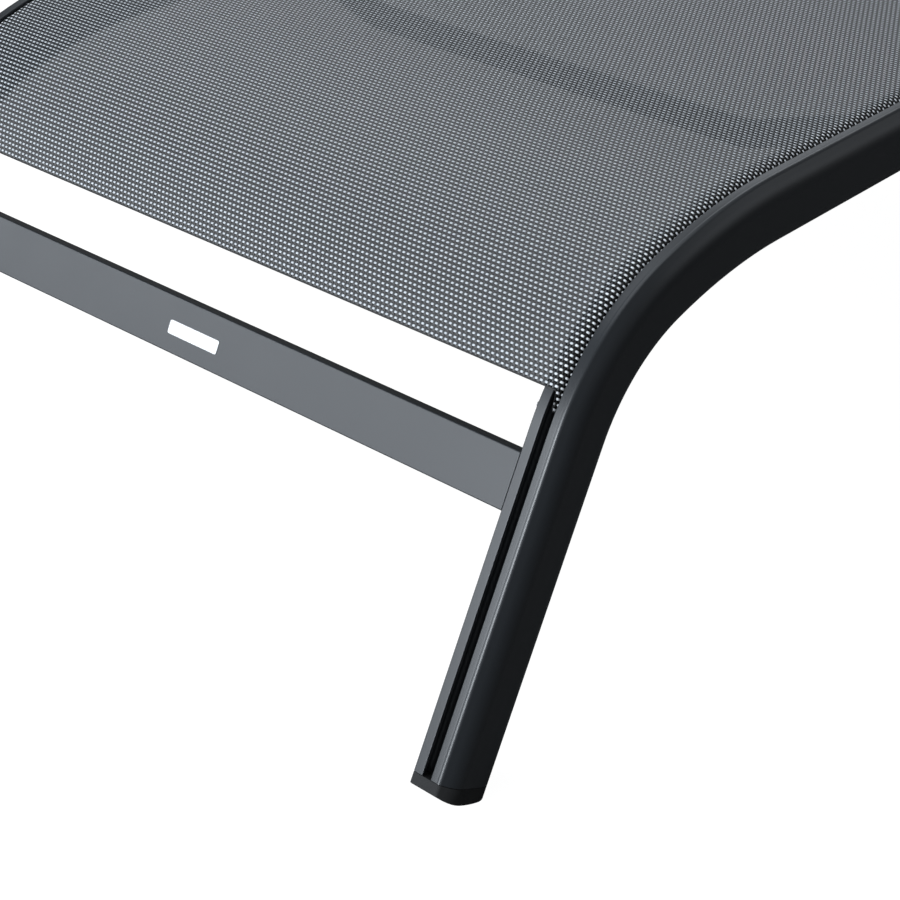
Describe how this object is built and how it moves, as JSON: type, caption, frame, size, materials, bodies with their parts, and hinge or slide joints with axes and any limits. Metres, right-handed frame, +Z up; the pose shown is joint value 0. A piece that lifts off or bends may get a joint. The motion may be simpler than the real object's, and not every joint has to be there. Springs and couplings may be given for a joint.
{
  "type": "reclining sun lounger",
  "caption": "Flat aluminium-framed sun lounger with slanted bent-tube legs, a woven sling bed and a backrest that tilts up on a notched prop.",
  "frame": {"origin": "on the floor, at the middle of the length and the width with the backrest flat", "axes": "+Y to the head end, +X to the right seen from the foot end, +Z up"},
  "size_m": [0.684, 1.95, 0.3427],
  "materials": {
    "frame_paint": "fine matt anthracite powder coat on aluminium",
    "cap_plastic": "moulded black plastic",
    "sling_fabric": "open woven coated polyester yarn, grey and black",
    "keder_plastic": "extruded black plastic rod",
    "rack_steel": "powder-coated steel",
    "fastener_steel": "stainless steel, satin",
    "label_film": "blank white film sticker"
  },
  "bodies": {
    "base": {"side_rail_right": "frame_paint", "side_rail_left": "frame_paint", "foot_cap_front_right": "cap_plastic", "foot_cap_front_left": "cap_plastic", "foot_cap_rear_right": "cap_plastic", "foot_cap_rear_left": "cap_plastic", "front_crossbar": "frame_paint", "rear_crossbar": "frame_paint", "crossbar_label": "label_film", "stretcher_front": "frame_paint", "stretcher_middle": "frame_paint", "stretcher_hinge": "frame_paint", "seat_sling": "sling_fabric", "seat_keder_right": "keder_plastic", "seat_keder_left": "keder_plastic", "prop_rack_right": "rack_steel", "prop_rack_left": "rack_steel", "rack_rivet_1_right": "fastener_steel", "rack_rivet_1_left": "fastener_steel", "rack_rivet_2_right": "fastener_steel", "rack_rivet_2_left": "fastener_steel", "hinge_insert_right": "fastener_steel", "hinge_insert_left": "fastener_steel", "rest_pin_right": "fastener_steel", "rest_pin_left": "fastener_steel", "rest_sleeve_right": "cap_plastic", "rest_sleeve_left": "cap_plastic", "sling_stop_screw_right": "fastener_steel", "sling_stop_screw_left": "fastener_steel"},
    "backrest": {"backrest_rail_right": "frame_paint", "backrest_rail_left": "frame_paint", "backrest_cap_head_right": "cap_plastic", "backrest_cap_head_left": "cap_plastic", "backrest_cap_hinge_right": "cap_plastic", "backrest_cap_hinge_left": "cap_plastic", "backrest_head_bar": "frame_paint", "backrest_stretcher_lower": "frame_paint", "backrest_stretcher_upper": "frame_paint", "backrest_sling": "sling_fabric", "backrest_keder_right": "keder_plastic", "backrest_keder_left": "keder_plastic", "hinge_bolt_right": "fastener_steel", "hinge_bolt_left": "fastener_steel", "hinge_washer_right": "fastener_steel", "hinge_washer_left": "fastener_steel", "hinge_spacer_right": "cap_plastic", "hinge_spacer_left": "cap_plastic", "prop_lug_right": "frame_paint", "prop_lug_left": "frame_paint", "prop_pivot_nut_right": "fastener_steel", "prop_pivot_nut_left": "fastener_steel"},
    "prop": {"prop_arm_right": "rack_steel", "prop_arm_left": "rack_steel", "prop_rod": "rack_steel"}
  },
  "joints": [
    {"name": "backrest_hinge", "type": "hinge", "parent": "base", "child": "backrest", "pos_m": [0, 0.13, 0.319], "axis": [1, 0, 0], "range_deg": [0, 68]},
    {"name": "prop_pivot", "type": "hinge", "parent": "backrest", "child": "prop", "pos_m": [0, 0.34485, 0.31101], "axis": [1, 0, 0], "range_deg": [-137, 0]}
  ],
  "couplings": [
    {"joint": "prop_pivot", "follows": "backrest_hinge", "ratio": -2}
  ]
}
